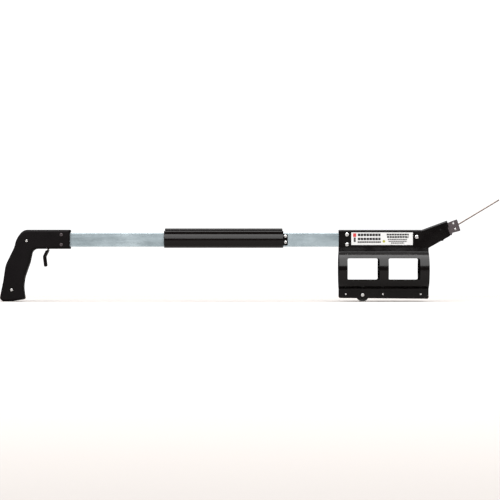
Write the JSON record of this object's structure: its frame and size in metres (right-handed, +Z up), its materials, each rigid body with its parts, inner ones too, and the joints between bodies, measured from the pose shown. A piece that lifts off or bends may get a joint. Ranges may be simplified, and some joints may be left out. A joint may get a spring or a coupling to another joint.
{
  "type": "aerosol marking wand",
  "caption": "Long-reach hand wand for an inverted marking-paint can: pistol grip with trigger, rectangular tube, pressed barrel holder with a wheel, and an actuator lever with a long wire.",
  "frame": {"origin": "bottom centre of the bounding box, on the surface that the grip butt and the wheel stand on", "axes": "+X from the grip to the can end, +Z up, +Y across the wand, away from the labelled side"},
  "size_m": [0.9277, 0.07, 0.1899],
  "materials": {
    "aluminium": "mill finish, faintly clouded",
    "grip_plastic": "fine moulded texture, matte",
    "sleeve_vinyl": "dipped or moulded black vinyl, glossy",
    "black_paint": "gloss black baked paint on pressed steel",
    "bright_zinc": "bright zinc plate",
    "grey_zinc": "dull grey zinc sheet",
    "bare_steel": "bare spring steel",
    "black_wheel": "hard black rubber",
    "label": "white printed film with plain marks",
    "white_nylon": "natural nylon"
  },
  "bodies": {
    "frame": {"axle_nut": "bright_zinc", "back_plate": "black_paint", "flange_rivets": "bright_zinc", "flange_spacers": "bright_zinc", "front_plate": "black_paint", "grip_sleeve": "sleeve_vinyl", "handle_back_shell": "grip_plastic", "handle_front_shell": "grip_plastic", "handle_nuts": "bright_zinc", "handle_screws": "bright_zinc", "holder_nuts": "bright_zinc", "holder_screws": "bright_zinc", "label_plate": "label", "lever_pivot_pin": "black_paint", "lever_spacers": "bright_zinc", "lower_tube": "aluminium", "return_spring": "bare_steel", "rod_guides": "white_nylon", "splice_insert": "aluminium", "splice_plate": "black_paint", "splice_screws": "bright_zinc", "trigger_pivot_pin": "bright_zinc", "tube_clamp_nuts": "bright_zinc", "tube_clamp_screws": "grey_zinc", "upper_tube": "aluminium", "wheel_axle": "bright_zinc", "wheel_washers": "bright_zinc"},
    "trigger": {"trigger_hub": "bright_zinc", "trigger_strip": "bare_steel", "trigger_rivets": "bright_zinc", "trigger_sleeve": "sleeve_vinyl"},
    "rod": {"pull_rod": "bare_steel", "rod_collar": "bright_zinc"},
    "lever": {"actuator_lever": "grey_zinc", "wire_keeper": "grey_zinc", "lever_rivets": "bright_zinc", "pointer_wire": "bare_steel"},
    "wheel": {"wheel": "black_wheel"}
  },
  "joints": [
    {"name": "trigger_pull", "type": "hinge", "parent": "frame", "child": "trigger", "pos_m": [-0.3743, 0, 0.1269], "axis": [0, 1, 0], "range_deg": [0, 18], "stiffness_Nm_per_rad": 0.15, "springref_deg": -20.05},
    {"name": "rod_slide", "type": "slide", "parent": "frame", "child": "rod", "axis": [-1, 0, 0], "range_m": [0, 0.00348], "deforming": ["return_spring"]},
    {"name": "lever_swing", "type": "hinge", "parent": "frame", "child": "lever", "pos_m": [0.3541, 0, 0.1306], "axis": [0, 1, 0], "range_deg": [0, 13.49]},
    {"name": "wheel_spin", "type": "hinge", "parent": "frame", "child": "wheel", "pos_m": [0.2091, 0, 0.012], "axis": [0, 1, 0], "continuous": true}
  ],
  "couplings": [
    {"joint": "rod_slide", "follows": "trigger_pull", "m_per_rad": 0.011},
    {"joint": "lever_swing", "follows": "trigger_pull", "ratio": 0.7483}
  ]
}
